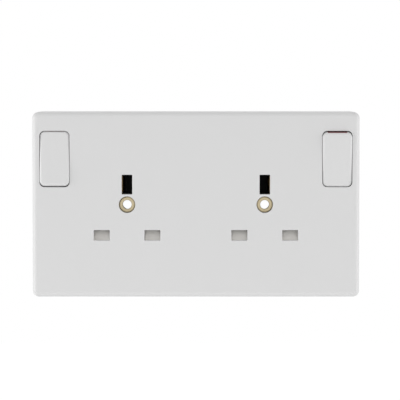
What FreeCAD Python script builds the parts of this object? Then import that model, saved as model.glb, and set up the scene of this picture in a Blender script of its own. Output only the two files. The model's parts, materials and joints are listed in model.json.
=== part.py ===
import FreeCAD
import Part
import Sketcher
import math
import os

# Frame: X runs to the right and Z upward as seen from the front. Y runs into the wall.
# The wall is the plane Y = 0, and levels are heights in front of it, so a level u lies at Y = -u.

SIZES = [
    ("plate_width", 144.7, "front moulding, width at the wall"),
    ("plate_height", 82.4, "front moulding, height at the wall"),
    ("plate_depth", 22.0, "front moulding, wall to face"),
    ("plate_draft", 2.0, "front moulding, lean of the sides in degrees"),
    ("corner_radius", 2.6, "front moulding, corners of the face's outline"),
    ("edge_radius", 2.25, "front moulding, rounding around the face"),
    ("face_thickness", 2.6, "front moulding, thickness of the face"),
    ("rim_thickness", 2.6, "front moulding, thickness of the rim at the wall"),
    ("outlet_pitch", 60.3, "spacing of the outlets, and of the fixing holes"),
    ("earth_slot_rise", 8.8, "earth slots, height above the centre line"),
    ("earth_slot_width", 4.62, "earth slots, width"),
    ("earth_slot_height", 8.55, "earth slots, height"),
    ("earth_pin_length", 22.7, "length of the plug's earth pin"),
    ("pin_row_drop", 22.2, "earth pin down to the line and neutral pins"),
    ("pin_pitch", 22.2, "spacing of the line and neutral pins"),
    ("pin_slot_width", 7.0, "line and neutral slots, width"),
    ("pin_slot_height", 4.5, "line and neutral slots, height"),
    ("pin_slot_depth", 2.9, "line and neutral slots, depth to the back of the collar"),
    ("slot_corner", 0.3, "corners of all slots"),
    ("slot_edge", 0.3, "rounding around the mouths of the slots and head recesses"),
    ("collar_wall", 1.2, "collar around a line or neutral slot"),
    ("head_recess_radius", 3.6, "fixing holes, recess for the screw head"),
    ("head_recess_depth", 2.4, "fixing holes, face to eyelet"),
    ("fixing_boss_radius", 4.5, "fixing holes, boss behind the face"),
    ("fixing_hole_radius", 2.9, "fixing holes in the back cover"),
    ("eyelet_head_gap", 0.1, "eyelet head to the side of its recess"),
    ("eyelet_bore", 1.95, "eyelet, radius of the hole in the head"),
    ("eyelet_tube_bore", 2.35, "eyelet, radius of the bore behind the head"),
    ("eyelet_wall", 0.45, "eyelet, wall of the tube"),
    ("eyelet_flange", 0.8, "eyelet, thickness of the head"),
    ("eyelet_roll", 0.6, "eyelet, thickness of the rolled end"),
    ("eyelet_clearance", 0.05, "eyelet tube in its holes"),
    ("switch_inset", 10.55, "edge of the plate to the middle of a rocker"),
    ("switch_drop", 21.25, "top of the plate to the middle of a rocker"),
    ("rocker_width", 12.9, "rocker, width"),
    ("rocker_height", 23.5, "rocker, height of its face"),
    ("rocker_side_gap", 0.15, "rocker to the sides of its opening"),
    ("rocker_end_gap", 0.2, "rocker to the near end of its opening"),
    ("rocker_proud", 0.6, "rocker, height of its middle above the plate"),
    ("rocker_tilt", 4.5, "rocker, lean to either side in degrees"),
    ("rocker_cap", 2.4, "rocker, thickness of the cap"),
    ("rocker_wall", 1.5, "rocker, thickness of the end walls"),
    ("rocker_skirt", 4.0, "rocker, depth of the end walls"),
    ("rocker_end_slope", 10.0, "rocker, slope of the end walls in degrees"),
    ("rocker_corner", 2.2, "rocker, corners of the outline"),
    ("rocker_edge", 1.1, "rocker, rounding around the face"),
    ("rocker_lip", 1.0, "depth of the lip around the rocker"),
    ("pivot_depth", 4.2, "face of the plate to the rocker's pivot"),
    ("hub_radius", 2.6, "rocker, hub around the pivot"),
    ("trunnion_radius", 1.3, "rocker, trunnions"),
    ("trunnion_reach", 2.0, "rocker, length of a trunnion in its bearing"),
    ("trunnion_clearance", 0.06, "trunnion in its bearing"),
    ("cheek_width", 7.0, "bearing cheeks, width"),
    ("cheek_thickness", 3.0, "bearing cheek on the inner side"),
    ("cheek_drop", 3.0, "bearing cheeks, depth behind the pivot"),
    ("stem_radius", 3.2, "rocker, stem for the plunger"),
    ("stem_reach", 5.0, "pivot to the end of the stem"),
    ("stem_bore_rise", 1.5, "pivot to the blind end of the stem's bore"),
    ("plunger_radius", 2.1, "plunger, radius"),
    ("plunger_clearance", 0.12, "plunger in the stem"),
    ("plunger_head", 2.5, "pivot to the inner end of the plunger"),
    ("plunger_reach", 8.4, "pivot to the tip of the plunger"),
    ("plunger_gap", 0.2, "tip of the plunger to the moving contact"),
    ("spring_wire", 0.5, "wire of the springs"),
    ("spring_pitch", 1.3, "pitch of the springs"),
    ("spring_radius", 1.7, "springs, middle of the wire to the axis"),
    ("sheet_thickness", 1.0, "brass sheet of bars, straps and moving contacts"),
    ("contact_tilt", 9.0, "moving contact, lean to either side in degrees"),
    ("contact_reach", 9.6, "moving contact, pivot to tip"),
    ("contact_width", 5.0, "moving contact, width"),
    ("contact_overhang", 1.7, "moving contact, length beyond the middle of its tip"),
    ("contact_lift", 0.9, "moving contact, pivot to the underside of the strip"),
    ("contact_pin_radius", 1.0, "moving contact, pivot pin"),
    ("contact_pin_clearance", 0.08, "pivot pin in the ears of the strap"),
    ("tip_radius", 1.4, "silver tips, radius"),
    ("tip_height", 1.0, "silver tip of the moving contact, height"),
    ("tip_gap", 0.06, "play between closed silver tips"),
    ("ear_thickness", 1.0, "ears of the line straps, thickness"),
    ("ear_gap", 0.4, "ears of the line straps to the moving contact"),
    ("ear_width", 5.2, "ears of the line straps, width"),
    ("strap_width", 6.0, "line straps, width of the run under the jaws"),
    ("strap_drop", 24.0, "centre line down to the middle of that run"),
    ("jaw_width", 5.6, "line and neutral jaws, width"),
    ("jaw_leaf", 0.8, "jaws, thickness of a leaf"),
    ("jaw_foot", 2.4, "jaws, half opening at the foot"),
    ("jaw_pinch", 1.6, "jaws, half opening where they grip"),
    ("jaw_mouth", 2.8, "line and neutral jaws, half opening at the mouth"),
    ("jaw_flare", 1.8, "jaws, length of the flare"),
    ("jaw_clearance", 0.3, "mouth of a jaw to the shutter keeper"),
    ("neutral_bar_drop", 6.8, "centre line down to the middle of the neutral bar"),
    ("neutral_bar_width", 4.8, "neutral bar, width"),
    ("supply_bar_width", 5.0, "line supply bar, width"),
    ("earth_bar_level", 10.2, "wall to the back of the earth bar"),
    ("earth_bar_width", 4.0, "earth bar, width of the run between the outlets"),
    ("earth_pad_width", 11.2, "earth bar, width of the pad at an outlet"),
    ("earth_pad_margin", 1.8, "earth bar, pad above the earth slot"),
    ("earth_window_gap", 0.2, "earth bar, window around the slot"),
    ("earth_leaf_length", 7.0, "earth jaws, length of a leaf"),
    ("earth_leaf_width", 6.8, "earth jaws, width of a leaf"),
    ("earth_leg_width", 7.0, "earth bar, width of a leg"),
    ("shutter_width", 34.0, "shutter, width"),
    ("shutter_thickness", 4.6, "shutter, thickness"),
    ("shutter_bar", 4.95, "shutter, height of its lower bar"),
    ("shutter_tongue", 8.2, "shutter, width of a tongue"),
    ("shutter_tip", 2.6, "shutter, thickness of a tongue's upper edge"),
    ("shutter_lap", 0.2, "shutter, lap over the edges of a slot"),
    ("shutter_gap", 0.2, "shutter to its guides"),
    ("shutter_spring_length", 10.0, "shutter spring, length at rest"),
    ("rail_width", 1.6, "shutter rails, width"),
    ("stop_width", 12.0, "stop of the shutter spring, width"),
    ("stop_thickness", 1.4, "stop of the shutter spring, thickness"),
    ("keeper_thickness", 1.2, "shutter keeper, thickness"),
    ("keeper_margin", 0.6, "keeper beyond the tongues and the spring"),
    ("keeper_window_gap", 0.7, "keeper, window around a slot"),
    ("post_radius", 1.8, "posts of the back cover, radius"),
    ("post_rise", 1.6, "upper posts, height above the line and neutral slots' middle"),
    ("post_drop", 15.9, "lower posts, depth below the line and neutral slots' middle"),
    ("cover_thickness", 2.2, "back cover, thickness"),
    ("cover_clearance", 0.2, "back cover in the rim"),
    ("cover_screw_inset", 22.2, "edge of the plate to the outer cover screws"),
    ("cover_screw_drop", 6.2, "top and bottom of the plate to the cover screws"),
    ("cover_screw_radius", 1.2, "cover screws, shank"),
    ("cover_screw_head", 2.6, "cover screws, head"),
    ("cover_screw_length", 11.0, "cover screws, length"),
    ("cover_screw_clearance", 0.08, "cover screws in their holes"),
    ("cover_boss_radius", 3.0, "bosses for the cover screws"),
    ("driver_slot", 0.8, "width of the drivers' slots in all screws"),
    ("pocket_gap", 0.4, "earth pin to the sides of its pocket in the cover"),
    ("pocket_depth", 0.8, "earth pin to the floor of that pocket"),
    ("pocket_wall", 1.0, "wall of that pocket"),
    ("terminal_size", 8.4, "terminals, width and height"),
    ("terminal_depth", 9.0, "terminals, depth behind the wall"),
    ("terminal_clearance", 0.3, "terminals in the cover"),
    ("wire_bore", 2.4, "terminals, radius of the wire hole"),
    ("wire_depth", 3.4, "wall to the middle of the wire holes"),
    ("clamp_radius", 1.7, "terminal screws, shank"),
    ("clamp_clearance", 0.05, "terminal screws in their holes"),
    ("clamp_stop", 0.1, "end of a terminal screw to the wire hole"),
    ("clamp_head_radius", 2.7, "terminal screws, head"),
    ("clamp_head_height", 1.8, "terminal screws, height of the head"),
    ("clamp_head_gap", 0.6, "terminal to the head of its screw"),
    ("shroud_wall", 1.5, "shrouds around the terminals, wall"),
    ("shroud_depth", 9.5, "shrouds around the terminals, depth behind the wall"),
    ("line_terminal_rise", 23.0, "line terminal above the centre line"),
    ("neutral_terminal_drop", 21.0, "neutral terminal below the centre line"),
    ("earth_terminal_offset", 12.5, "earth terminals beside the middle"),
    ("earth_terminal_rise", 8.0, "earth terminals above the centre line"),
]

doc = FreeCAD.newDocument("uk_twin_socket")
sheet = doc.addObject("Spreadsheet::Sheet", "size")
for row, (name, value, meaning) in enumerate(SIZES, start=1):
    sheet.set(f"A{row}", meaning)
    sheet.set(f"B{row}", str(value))
    sheet.setAlias(f"B{row}", name)
trial = doc.addObject("Spreadsheet::Sheet", "trial")
doc.recompute()

# Sizes and levels that several pieces share.
face_back = "(size.plate_depth - size.face_thickness)"
cavity_width = "(size.plate_width - 2 * size.rim_thickness)"
cavity_height = "(size.plate_height - 2 * size.rim_thickness)"
bar_top = "(size.cover_thickness + size.sheet_thickness)"
outlet_x = "(size.outlet_pitch / 2)"
pin_x = "(size.pin_pitch / 2)"
pin_z = "(size.earth_slot_rise - size.pin_row_drop)"
line_x_left = f"({pin_x} - {outlet_x})"
line_x_right = f"({outlet_x} + {pin_x})"
neutral_x_left = f"(-{outlet_x} - {pin_x})"
neutral_x_right = f"({outlet_x} - {pin_x})"
seat_level = "(size.plate_depth - size.head_recess_depth - size.eyelet_flange)"
eyelet_tube = "(size.eyelet_tube_bore + size.eyelet_wall)"
earth_bar_front = "(size.earth_bar_level + size.sheet_thickness)"
switch_x = "(size.plate_width / 2 - size.switch_inset)"
switch_z = "(size.plate_height / 2 - size.switch_drop)"
pivot_level = "(size.plate_depth - size.pivot_depth)"
rocker_face = "(size.pivot_depth + size.rocker_proud)"
opening_half_width = "(size.rocker_width / 2 + size.rocker_side_gap)"
opening_height = (f"(size.rocker_height * cos(size.rocker_tilt)"
                  f" + 2 * {rocker_face} * sin(size.rocker_tilt) + 2 * size.rocker_end_gap)")
skirt_half_height = "(size.rocker_height / 2 + size.rocker_skirt * tan(size.rocker_end_slope))"
contact_level = (f"({pivot_level} - size.plunger_reach - size.plunger_gap"
                 f" - size.contact_lift - size.sheet_thickness)")
contact_half_length = "(size.contact_reach + size.contact_overhang)"
fixed_tip_z = f"({switch_z} + size.contact_reach * cos(size.contact_tilt))"
fixed_tip_top = (f"({contact_level} - (size.contact_reach + size.tip_radius) * sin(size.contact_tilt)"
                 f" - (size.tip_height - size.contact_lift) * cos(size.contact_tilt) - size.tip_gap)")
ear_x = "(size.contact_width / 2 + size.ear_gap + size.ear_thickness / 2)"
strap_half_width = f"({ear_x} + size.ear_thickness / 2)"
strap_top_z = f"({switch_z} + size.ear_width / 2 + size.sheet_thickness)"
shutter_front = "(size.plate_depth - size.pin_slot_depth - size.shutter_gap)"
shutter_back = f"({shutter_front} - size.shutter_thickness)"
shutter_middle = f"({shutter_front} - size.shutter_thickness / 2)"
tongue_low = f"({pin_z} - size.pin_slot_height / 2 - size.shutter_lap)"
tongue_high = f"({pin_z} + size.pin_slot_height / 2 + size.shutter_lap)"
shutter_low = f"({tongue_low} - size.shutter_bar)"
stop_z = f"({shutter_low} - size.shutter_spring_length)"
keeper_front = f"({shutter_back} - size.shutter_gap)"
keeper_back = f"({keeper_front} - size.keeper_thickness)"
keeper_low = f"({stop_z} - size.keeper_margin)"
keeper_high = f"({tongue_high} + size.shutter_gap + size.keeper_margin)"
rail_x = "(size.shutter_width / 2 + size.shutter_gap + size.rail_width / 2)"
mouth_level = f"({keeper_back} - size.jaw_clearance)"
pinch_level = f"({mouth_level} - size.jaw_flare)"
screw_x = "(size.plate_width / 2 - size.cover_screw_inset)"
screw_z = "(size.plate_height / 2 - size.cover_screw_drop)"
pocket_floor = "(size.plate_depth - size.earth_pin_length - size.pocket_depth)"
terminal_half = "(size.terminal_size / 2)"
clamp_seat = "(-size.terminal_depth - size.clamp_head_gap)"
clamp_back = f"({clamp_seat} - size.clamp_head_height)"
TOUCH = 1e-6
SIDES = [("left", "-1"), ("right", "1")]
SCREW_PLACES = [(column, row) for column in ("-1", "0", "1") for row in ("-1", "1")]


def number(expression):
    """The present value of an expression, worked out in a cell of the trial sheet."""
    trial.set("A1", f"={expression}")
    trial.recompute()
    return float(trial.get("A1"))


def new_body(label):
    """A body whose label names its file."""
    made = doc.addObject("PartDesign::Body", label)
    made.Label = label
    return made


def bind(sketch, constraint, expression):
    """Add a dimension to a sketch and let it follow an expression."""
    index = sketch.addConstraint(constraint)
    sketch.setExpression(f"Constraints[{index}]", expression)


def locate(sketch, geometry, point, across, up):
    """Place a point of a sketch from the sketch's origin."""
    bind(sketch, Sketcher.Constraint("DistanceX", -1, 1, geometry, point, number(across)), across)
    bind(sketch, Sketcher.Constraint("DistanceY", -1, 1, geometry, point, number(up)), up)


def outline(sketch, points):
    """Draw a closed chain of lines."""
    first = sketch.GeometryCount
    spots = [FreeCAD.Vector(number(across), number(up), 0) for across, up in points]
    for spot, following in zip(spots, spots[1:] + spots[:1]):
        sketch.addGeometry(Part.LineSegment(spot, following))
    for step, (across, up) in enumerate(points):
        following = first + (step + 1) % len(points)
        sketch.addConstraint(Sketcher.Constraint("Coincident", first + step, 2, following, 1))
        locate(sketch, first + step, 1, across, up)


def rectangle(sketch, across, up, width, height):
    """Draw a rectangle around its middle."""
    left = f"({across}) - ({width}) / 2"
    right = f"({across}) + ({width}) / 2"
    low = f"({up}) - ({height}) / 2"
    high = f"({up}) + ({height}) / 2"
    outline(sketch, [(left, low), (right, low), (right, high), (left, high)])


def rounded(sketch, across, up, width, height, radius):
    """Draw a rectangle with rounded corners around its middle."""
    first = sketch.GeometryCount
    left = f"({across}) - ({width}) / 2"
    right = f"({across}) + ({width}) / 2"
    low = f"({up}) - ({height}) / 2"
    high = f"({up}) + ({height}) / 2"
    sides = [
        ((f"{left} + {radius}", low), (f"{right} - {radius}", low)),
        ((right, f"{low} + {radius}"), (right, f"{high} - {radius}")),
        ((f"{right} - {radius}", high), (f"{left} + {radius}", high)),
        ((left, f"{high} - {radius}"), (left, f"{low} + {radius}")),
    ]
    middles = [
        (f"{right} - {radius}", f"{low} + {radius}"),
        (f"{right} - {radius}", f"{high} - {radius}"),
        (f"{left} + {radius}", f"{high} - {radius}"),
        (f"{left} + {radius}", f"{low} + {radius}"),
    ]
    for start, end in sides:
        spots = [FreeCAD.Vector(number(along), number(upward), 0) for along, upward in (start, end)]
        sketch.addGeometry(Part.LineSegment(*spots))
    quarter = math.pi / 2
    for turn, (along, upward) in enumerate(middles):
        middle = FreeCAD.Vector(number(along), number(upward), 0)
        ring = Part.Circle(middle, FreeCAD.Vector(0, 0, 1), number(radius))
        sketch.addGeometry(Part.ArcOfCircle(ring, (turn - 1) * quarter, turn * quarter))
    for turn, (start, end) in enumerate(sides):
        locate(sketch, first + turn, 1, *start)
        locate(sketch, first + turn, 2, *end)
        arc = first + len(sides) + turn
        sketch.addConstraint(Sketcher.Constraint("Coincident", first + turn, 2, arc, 1))
        following = first + (turn + 1) % len(sides)
        sketch.addConstraint(Sketcher.Constraint("Coincident", arc, 2, following, 1))
        bind(sketch, Sketcher.Constraint("Radius", arc, number(radius)), radius)


def circle(sketch, across, up, radius):
    """Draw a circle."""
    middle = FreeCAD.Vector(number(across), number(up), 0)
    geometry = sketch.addGeometry(Part.Circle(middle, FreeCAD.Vector(0, 0, 1), number(radius)))
    locate(sketch, geometry, 3, across, up)
    bind(sketch, Sketcher.Constraint("Radius", geometry, number(radius)), radius)


def draw(owner, name, plane, level, figures):
    """A sketch on an origin plane of a body, at a level along the plane's normal."""
    made = owner.newObject("Sketcher::SketchObject", name)
    support = next(part for part in owner.Origin.OriginFeatures if part.Role == plane)
    made.AttachmentSupport = [(support, "")]
    made.MapMode = "FlatFace"
    made.setExpression("AttachmentOffset.Base.z", level)
    for figure, *measures in figures:
        figure(made, *measures)
    return made


def add(owner, name, figures, low, high, plane="XZ_Plane"):
    """Pad figures from one level to another. On the XZ plane levels count from the wall."""
    made = owner.newObject("PartDesign::Pad", name)
    made.Profile = draw(owner, f"{name}_sketch", plane, low, figures)
    made.setExpression("Length", f"({high}) - ({low})")
    owner.Tip = made
    return made


def remove(owner, name, figures, low, high, plane="XZ_Plane"):
    """Pocket figures from one level to another."""
    made = owner.newObject("PartDesign::Pocket", name)
    made.Profile = draw(owner, f"{name}_sketch", plane, high, figures)
    made.setExpression("Length", f"({high}) - ({low})")
    owner.Tip = made
    return made


def turn(owner, name, points):
    """Turn an outline of radii and levels around the axis that runs into the wall."""
    profile = draw(owner, f"{name}_sketch", "XY_Plane", "0",
                   [(outline, [(radius, f"-({level})") for radius, level in points])])
    made = owner.newObject("PartDesign::Revolution", name)
    made.Profile = profile
    made.ReferenceAxis = (profile, ["V_Axis"])
    owner.Tip = made
    return made


def soften(owner, name, radius, chosen, kind="PartDesign::Fillet"):
    """Round or bevel the edges of the last feature that a test picks out."""
    doc.recompute()
    base = owner.Tip
    edges = [f"Edge{index}" for index, edge in enumerate(base.Shape.Edges, start=1) if chosen(edge)]
    made = owner.newObject(kind, name)
    made.Base = (base, edges)
    made.setExpression("Radius" if kind == "PartDesign::Fillet" else "Size", radius)
    owner.Tip = made
    return made


def ends_at(edge, level):
    """How many ends of an edge lie in the plane of a level."""
    return sum(abs(spot.Y + level) < TOUCH for spot in (edge.Vertexes[0], edge.Vertexes[-1]))


def at_level(edge, level):
    """Whether an edge lies in the plane of a level."""
    return ends_at(edge, level) == 2


def leaves_level(edge, level):
    """Whether an edge runs away from the plane of a level."""
    return ends_at(edge, level) == 1


def place(made, across, level, up, axis=None, angle=None):
    """Place a piece, and lean it around an axis along X where it has one."""
    if axis:
        lean = FreeCAD.Rotation(FreeCAD.Vector(axis, 0, 0), number(angle))
        made.Placement = FreeCAD.Placement(FreeCAD.Vector(), lean)
        made.setExpression("Placement.Rotation.Angle", angle)
    made.setExpression("Placement.Base.x", across)
    made.setExpression("Placement.Base.y", f"-({level})")
    made.setExpression("Placement.Base.z", up)


def coil(label, start, length):
    """A coil spring of square wire along Z, from a start."""
    path = doc.addObject("Part::Helix", f"{label}_path")
    path.setExpression("Pitch", "size.spring_pitch")
    path.setExpression("Radius", "size.spring_radius")
    path.setExpression("Height", f"({length}) - size.spring_wire")
    path.setExpression("Placement.Base.z", f"({start}) + size.spring_wire / 2")
    wire = doc.addObject("Part::RegularPolygon", f"{label}_wire")
    wire.Polygon = 4
    wire.setExpression("Circumradius", "size.spring_wire / 2")
    wire.Placement = FreeCAD.Placement(FreeCAD.Vector(), FreeCAD.Rotation(FreeCAD.Vector(1, 0, 0), 90))
    wire.setExpression("Placement.Base.x", "size.spring_radius")
    wire.setExpression("Placement.Base.z", f"({start}) + size.spring_wire / 2")
    doc.recompute()
    made = doc.addObject("Part::Sweep", label)
    made.Label = label
    made.Sections = [wire]
    made.Spine = (path, [f"Edge{index}" for index in range(1, len(path.Shape.Edges) + 1)])
    made.Solid = True
    made.Frenet = True
    return made


nodes = []

# Front moulding: a drafted shell, lofted from its outline at the wall to that of the face, and rounded there.
front = new_body("front_plate")
nodes.append(front)
draft_inset = "(size.plate_depth * tan(size.plate_draft))"
wall_outline = draw(front, "wall_outline", "XZ_Plane", "0", [
    (rounded, "0", "0", "size.plate_width", "size.plate_height", f"(size.corner_radius + {draft_inset})")])
face_outline = draw(front, "face_outline", "XZ_Plane", "size.plate_depth", [
    (rounded, "0", "0", f"(size.plate_width - 2 * {draft_inset})", f"(size.plate_height - 2 * {draft_inset})",
     "size.corner_radius")])
shell = front.newObject("PartDesign::AdditiveLoft", "shell")
shell.Profile = wall_outline
shell.Sections = [face_outline]
shell.Ruled = True
front.Tip = shell
soften(front, "shell_edge", "size.edge_radius",
       lambda edge: at_level(edge, number("size.plate_depth")))
remove(front, "cavity", [(rectangle, "0", "0", cavity_width, cavity_height)], "0", face_back)

# Bosses for the cover screws and the fixing screws, and collars behind the line and neutral slots.
add(front, "cover_bosses",
    [(circle, f"{column} * {screw_x}", f"{row} * {screw_z}", "size.cover_boss_radius")
     for column, row in SCREW_PLACES],
    "size.cover_thickness", face_back)
remove(front, "cover_pilots",
       [(circle, f"{column} * {screw_x}", f"{row} * {screw_z}",
         "size.cover_screw_radius + size.cover_screw_clearance") for column, row in SCREW_PLACES],
       "size.cover_thickness", "size.cover_screw_length + size.sheet_thickness")
add(front, "fixing_bosses",
    [(circle, f"{side} * {outlet_x}", "0", "size.fixing_boss_radius") for _, side in SIDES],
    earth_bar_front, face_back)
pin_slots = [(f"{side} * {outlet_x} + {pin} * {pin_x}", pin_z) for _, side in SIDES for _, pin in SIDES]
add(front, "slot_collars",
    [(rectangle, across, up, "size.pin_slot_width + 2 * size.collar_wall",
      "size.pin_slot_height + 2 * size.collar_wall") for across, up in pin_slots],
    "size.plate_depth - size.pin_slot_depth", face_back)

# Rails and a spring stop for each shutter.
add(front, "shutter_rails",
    [(rectangle, f"{side} * {outlet_x} + {rail} * {rail_x}", f"({keeper_low} + {keeper_high}) / 2",
      "size.rail_width", f"{keeper_high} - {keeper_low}") for _, side in SIDES for _, rail in SIDES],
    keeper_front, face_back)
add(front, "spring_stops",
    [(rectangle, f"{side} * {outlet_x}", f"{stop_z} - size.stop_thickness / 2",
      "size.stop_width", "size.stop_thickness") for _, side in SIDES],
    keeper_front, face_back)

# Bearing cheeks beside each rocker. The outer one thickens the rim.
inner_cheek = f"({switch_x} - {opening_half_width} - size.cheek_thickness / 2)"
outer_cheek = f"(({switch_x} + {opening_half_width} + {cavity_width} / 2) / 2)"
add(front, "inner_cheeks",
    [(rectangle, f"{side} * {inner_cheek}", switch_z, "size.cheek_thickness", "size.cheek_width")
     for _, side in SIDES],
    f"{pivot_level} - size.cheek_drop", face_back)
add(front, "outer_cheeks",
    [(rectangle, f"{side} * {outer_cheek}", switch_z,
      f"{cavity_width} / 2 - {switch_x} - {opening_half_width}", "size.cheek_width")
     for _, side in SIDES],
    f"{pivot_level} - size.cheek_drop", face_back)

# Openings in the face.
remove(front, "rocker_openings",
       [(rounded, f"{side} * {switch_x}", switch_z, f"2 * {opening_half_width}", opening_height,
         "size.rocker_corner") for _, side in SIDES],
       face_back, "size.plate_depth")
remove(front, "rocker_recesses",
       [(rectangle, f"{side} * {switch_x}", switch_z, f"2 * {opening_half_width}",
         f"2 * {skirt_half_height} + 4 * size.rocker_end_gap") for _, side in SIDES],
       face_back, "size.plate_depth - size.rocker_lip")
bearing_half = f"({opening_half_width} + size.trunnion_reach + size.rocker_end_gap)"
for side_name, side in SIDES:
    remove(front, f"bearing_{side_name}",
           [(circle, f"-{pivot_level}", switch_z, "size.trunnion_radius + size.trunnion_clearance")],
           f"{side} * {switch_x} - {bearing_half}", f"{side} * {switch_x} + {bearing_half}",
           plane="YZ_Plane")
remove(front, "pin_slots",
       [(rounded, across, up, "size.pin_slot_width", "size.pin_slot_height", "size.slot_corner")
        for across, up in pin_slots],
       "size.plate_depth - size.pin_slot_depth", "size.plate_depth")
remove(front, "earth_slots",
       [(rounded, f"{side} * {outlet_x}", "size.earth_slot_rise", "size.earth_slot_width",
         "size.earth_slot_height", "size.slot_corner") for _, side in SIDES],
       face_back, "size.plate_depth")
remove(front, "head_recesses",
       [(circle, f"{side} * {outlet_x}", "0", "size.head_recess_radius") for _, side in SIDES],
       seat_level, "size.plate_depth")
remove(front, "eyelet_holes",
       [(circle, f"{side} * {outlet_x}", "0", f"{eyelet_tube} + size.eyelet_clearance")
        for _, side in SIDES],
       earth_bar_front, seat_level)
soften(front, "slot_mouths", "size.slot_edge",
       lambda edge: at_level(edge, number("size.plate_depth"))
       and edge.Length < number("size.outlet_pitch")
       and abs(edge.BoundBox.Center.x) < number(inner_cheek))

# Back cover: a plate in the rim with pockets for the earth pins, posts and terminal shrouds.
cover = new_body("back_cover")
nodes.append(cover)
add(cover, "plate",
    [(rectangle, "0", "0", f"{cavity_width} - 2 * size.cover_clearance",
      f"{cavity_height} - 2 * size.cover_clearance")],
    "0", "size.cover_thickness")
pocket_width = "(size.earth_slot_width + 2 * size.pocket_gap)"
pocket_height = "(size.earth_slot_height + 2 * size.pocket_gap)"
add(cover, "pin_pockets",
    [(rectangle, f"{side} * {outlet_x}", "size.earth_slot_rise",
      f"{pocket_width} + 2 * size.pocket_wall", f"{pocket_height} + 2 * size.pocket_wall")
     for _, side in SIDES],
    f"{pocket_floor} - size.pocket_wall", "0")
add(cover, "keeper_posts",
    [(circle, f"{side} * {outlet_x}", f"{pin_z} + {rise}", "size.post_radius")
     for _, side in SIDES for rise in ("size.post_rise", "-size.post_drop")],
    "size.cover_thickness", keeper_back)
TERMINALS = [
    ("line", "0", "size.line_terminal_rise", "1"),
    ("neutral", "0", "-size.neutral_terminal_drop", "-1"),
    ("earth_left", "-size.earth_terminal_offset", "size.earth_terminal_rise", "1"),
    ("earth_right", "size.earth_terminal_offset", "size.earth_terminal_rise", "1"),
]
shroud_room = "(size.terminal_size + 2 * size.terminal_clearance)"
add(cover, "shrouds",
    [(rectangle, across, f"{up} - {entry} * size.shroud_wall / 2",
      f"{shroud_room} + 2 * size.shroud_wall", f"{shroud_room} + size.shroud_wall")
     for _, across, up, entry in TERMINALS],
    "-size.shroud_depth", "0")
remove(cover, "terminal_rooms",
       [(rectangle, across, up, shroud_room, shroud_room) for _, across, up, _ in TERMINALS],
       "-size.shroud_depth", "size.cover_thickness")
remove(cover, "pin_rooms",
       [(rectangle, f"{side} * {outlet_x}", "size.earth_slot_rise", pocket_width, pocket_height)
        for _, side in SIDES],
       pocket_floor, "size.cover_thickness")
remove(cover, "fixing_holes",
       [(circle, f"{side} * {outlet_x}", "0", "size.fixing_hole_radius") for _, side in SIDES],
       "0", "size.cover_thickness")
screw_hole = "(size.cover_screw_radius + size.cover_screw_clearance)"
remove(cover, "screw_holes",
       [(circle, f"{column} * {screw_x}", f"{row} * {screw_z}", screw_hole)
        for column, row in SCREW_PLACES],
       "0", "size.cover_thickness")
soften(cover, "countersinks", "size.cover_screw_head - size.cover_screw_radius",
       lambda edge: len(edge.Vertexes) == 1 and at_level(edge, 0)
       and abs(edge.Curve.Radius - number(screw_hole)) < TOUCH,
       kind="PartDesign::Chamfer")

# Cover screws: one group of countersunk screws.
screws = []
for index, (column, row) in enumerate(SCREW_PLACES, start=1):
    screw = new_body(f"cover_screw_{index}")
    screws.append(screw)
    turn(screw, f"screw_{index}", [
        ("0", "0"), ("size.cover_screw_head", "0"),
        ("size.cover_screw_radius", "size.cover_screw_head - size.cover_screw_radius"),
        ("size.cover_screw_radius", "size.cover_screw_length - size.cover_screw_radius"),
        ("0", "size.cover_screw_length"),
    ])
    for way, (length, breadth) in enumerate([("size.cover_screw_radius * 2", "size.driver_slot"),
                                             ("size.driver_slot", "size.cover_screw_radius * 2")]):
        remove(screw, f"recess_{index}_{way}", [(rectangle, "0", "0", length, breadth)],
               "0", "size.driver_slot")
    place(screw, f"{column} * {screw_x}", "0", f"{row} * {screw_z}")
group = doc.addObject("Part::Compound", "cover_screws")
group.Label = "cover_screws"
group.Links = screws
nodes.append(group)

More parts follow.
